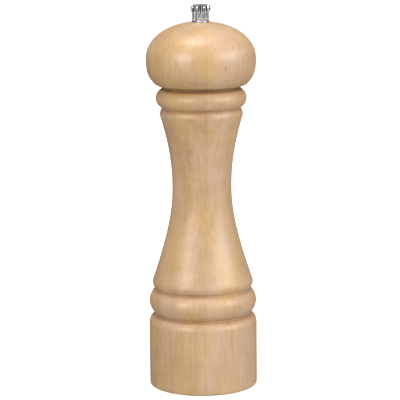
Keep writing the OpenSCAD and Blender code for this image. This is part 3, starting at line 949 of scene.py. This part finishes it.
def make_materials():
    """Every material, by the name of the record's slot that it gives the finish of."""
    return {
        "maple": make_maple(),
        # The knob's chrome is darker in the deep half of each flute: painted shade.
        "knob_chrome": make_metal("bright_chrome", (0.78, 0.78, 0.80), 0.13, (2.0, 2.0, 1.2),
                                  stain=0.08, soil_and_shade=0.80, uneven=0.05, bump_mm=0.001, untouched_depth=0.45),
        "screw_plating": make_metal("nickel_plating", (0.74, 0.72, 0.69), 0.20, (3.0, 3.0, 3.0),
                                    stain=0.25, soil_and_shade=0.45, uneven=0.12, bump_mm=0.004),
        "plated_steel": make_metal("zinc_plated_sheet", (0.66, 0.67, 0.70), 0.32, (0.8, 7.0, 2.0),
                                   stain=0.22, soil_and_shade=0.35, uneven=0.16, bump_mm=0.006),
        "shaft_steel": make_metal("drawn_steel", (0.60, 0.60, 0.61), 0.28, (6.0, 6.0, 0.08),
                                  stain=0.25, soil_and_shade=0.40, uneven=0.14, bump_mm=0.008,
                                  Anisotropic=0.4),
        "burr_steel": make_metal("hardened_burr_steel", (0.26, 0.255, 0.26), 0.42, (4.0, 4.0, 4.0),
                                 stain=0.30, soil_and_shade=0.60, uneven=0.20, bump_mm=0.015),
        "spring_wire": make_metal("spring_steel_wire", (0.55, 0.55, 0.57), 0.25, (3.0, 3.0, 9.0),
                                  stain=0.30, soil_and_shade=0.40, uneven=0.15, bump_mm=0.006),
        "brass": make_metal("turned_brass", (0.86, 0.62, 0.30), 0.26, (1.0, 1.0, 12.0),
                            stain=0.35, soil_and_shade=0.45, uneven=0.14, bump_mm=0.006),
    }


# Stage: floor, lamps, world and camera

def make_floor(half=8.0):
    """White floor that lights nothing itself. From below it is clear, so that the foot can be seen."""
    gap = 0.0002
    mesh = bpy.data.meshes.new("floor")
    mesh.from_pydata([(-half, -half, 0), (half, -half, 0), (half, half, 0), (-half, half, 0)],
                     [], [(0, 1, 2, 3)])
    floor = add_object("floor", mesh)
    floor.location.z = FOOT_Z * MM - gap
    floor.visible_diffuse = False
    floor.visible_glossy = False
    floor.visible_shadow = False
    material, tree, shader = new_material("white_floor", Roughness=0.9, Specular_IOR_Level=0.1,
                                          Emission_Strength=0.70)
    shader.inputs["Base Color"].default_value = (0.85, 0.85, 0.85, 1)
    shader.inputs["Emission Color"].default_value = (1, 1, 1, 1)
    clear = add(tree, "BsdfTransparent")
    back = tree.nodes.new("ShaderNodeNewGeometry").outputs["Backfacing"]
    made = add(tree, "MixShader", back, shader.outputs[0], clear)
    tree.links.new(made, tree.nodes["Material Output"].inputs[0])
    mesh.materials.append(material)


def make_softbox(name, place, aim, size, power):
    """Area light, so wide and so high, with its face towards a point."""
    lamp = bpy.data.lights.new(name, "AREA")
    lamp.shape = "RECTANGLE"
    lamp.size, lamp.size_y = size
    lamp.energy = power
    softbox = add_object(name, lamp)
    softbox.location = place
    direction = Vector(aim) - Vector(place)
    softbox.rotation_euler = direction.to_track_quat("-Z", "Y").to_euler()
    return softbox


def make_lamps():
    """Softboxes on both sides, overhead and behind. Metal doesn't reflect the one behind."""
    middle = (0, 0, 0.1)
    make_softbox("right", (1.18, -0.72, 0.62), middle, (1.15, 0.60), 12.3)
    make_softbox("left", (-0.80, -1.02, 0.56), middle, (0.60, 0.45), 7.6)
    make_softbox("top", (-0.15, -0.10, 1.30), middle, (0.6, 0.6), 8.0)
    back = make_softbox("back", (0.0, 1.40, 0.65), middle, (1.0, 1.0), 11.0)
    back.visible_glossy = False


def make_studio():
    """World that is pale in front and dark behind. A dark wall in front, from the horizon to about
    30 degrees up, gives the metal its contrast. What the camera itself sees of the world is white."""
    front_light, back_light, wall_light = 0.76, 0.07, 0.03
    world = bpy.data.worlds.new("studio")
    world.use_nodes = True
    bpy.context.scene.world = world
    tree = world.node_tree
    axes = tree.nodes.new("ShaderNodeSeparateXYZ")
    tree.links.new(add(tree, "TexCoord"), axes.inputs[0])
    x, y, z = axes.outputs
    pale = add(tree, "MapRange", maths(tree, "MULTIPLY_ADD", x, -0.25, y),
               -1.0, 1.0, front_light, back_light)
    front = add(tree, "MapRange", maths(tree, "MULTIPLY_ADD", x, -0.45, y), -0.90, -0.75, 1.0, 0.0)
    above = add(tree, "MapRange", z, -0.11, -0.07, 0.0, 1.0)
    below = add(tree, "MapRange", z, 0.45, 0.60, 1.0, 0.0)
    wall = maths(tree, "MULTIPLY", front, maths(tree, "MULTIPLY", above, below))
    seen = add(tree, "MapRange", wall, 0.0, 1.0, pale, wall_light)
    camera_ray = add(tree, "LightPath")
    background = tree.nodes["Background"]
    background.inputs["Color"].default_value = (1, 1, 1, 1)
    tree.links.new(maths(tree, "MAXIMUM", seen, camera_ray), background.inputs["Strength"])


def make_camera():
    """Long lens a little above the head, aimed at the middle of the mill."""
    distance, height, lens_mm, roll_deg = 1.05, 0.287, 181.1, -0.5
    target = Vector((-0.0011, 0, 0.0997))
    data = bpy.data.cameras.new("camera")
    data.lens = lens_mm
    data.sensor_width = 36
    camera = add_object("camera", data)
    camera.location = (target.x, -distance, height)
    aim = (target - camera.location).to_track_quat("-Z", "Y").to_matrix().to_4x4()
    camera.matrix_world = (Matrix.Translation(camera.location) @ aim
                           @ Matrix.Rotation(math.radians(roll_deg), 4, "Z"))
    bpy.context.scene.camera = camera
    bpy.context.scene.view_settings.view_transform = "Standard"


# Assembly

def dress(piece, node, slot, materials):
    """Gives a piece its material, and has it stand for its CAD node."""
    piece.data.materials.clear()
    piece.data.materials.append(materials[slot])
    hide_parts(node)


def fit_spring(materials):
    """Makes the spring where it stands and gives it its material; it goes on no body."""
    spring = make_spring()
    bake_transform(spring)
    dress(spring, "spring", "spring_wire", materials)


def build_mill():
    """Makes every piece of the mill and puts each but the spring on its body."""
    materials = make_materials()
    turned_body = revolve("turned_body", body_outline(), around=AROUND)
    turned_head = revolve("turned_head", head_outline(), around=AROUND)
    pieces = [
        (turned_body, "mill_body", "body", "maple"),
        (make_crossbar(), "mill_body", "crossbar", "plated_steel"),
        (make_bush(), "mill_body", "crossbar_bush", "brass"),
        (make_crossbar_screws(), "mill_body", "crossbar_screws", "screw_plating"),
        (make_shell(), "mill_body", "stator_shell", "plated_steel"),
        (make_stator(), "mill_body", "stator", "burr_steel"),
        (make_bridge(), "mill_body", "bridge", "plated_steel"),
        (make_rivets(), "mill_body", "bridge_rivets", "plated_steel"),
        (make_washer("brass_thrust_washer", "thrust_washer", WASHER_HOLE_R),
         "spring_set", "thrust_washer", "brass"),
        (make_washer("steel_spring_washer", "spring_washer", WASHER_HOLE_R),
         "spindle", "spring_washer", "plated_steel"),
        (make_rotor(), "spindle", "rotor", "burr_steel"),
        (make_clip(), "spindle", "rotor_clip", "burr_steel"),
        (make_shaft(), "spindle", "shaft", "shaft_steel"),
        (turned_head, "head", "head", "maple"),
        (make_drive_plate(), "head", "drive_plate", "plated_steel"),
        (make_plate_screws(), "head", "drive_plate_screws", "screw_plating"),
        (make_washer("chrome_knob_washer", "knob_washer", 2.8, arris=0.1, taper=0.12),
         "knob_washer", "knob_washer", "knob_chrome"),
        (make_knob(), "knob", "knob", "knob_chrome"),
    ]
    for piece, body, node, slot in pieces:
        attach(piece, body)
        dress(piece, node, slot, materials)
    fit_spring(materials)


build_mill()
make_floor()
make_lamps()
make_studio()
make_camera()
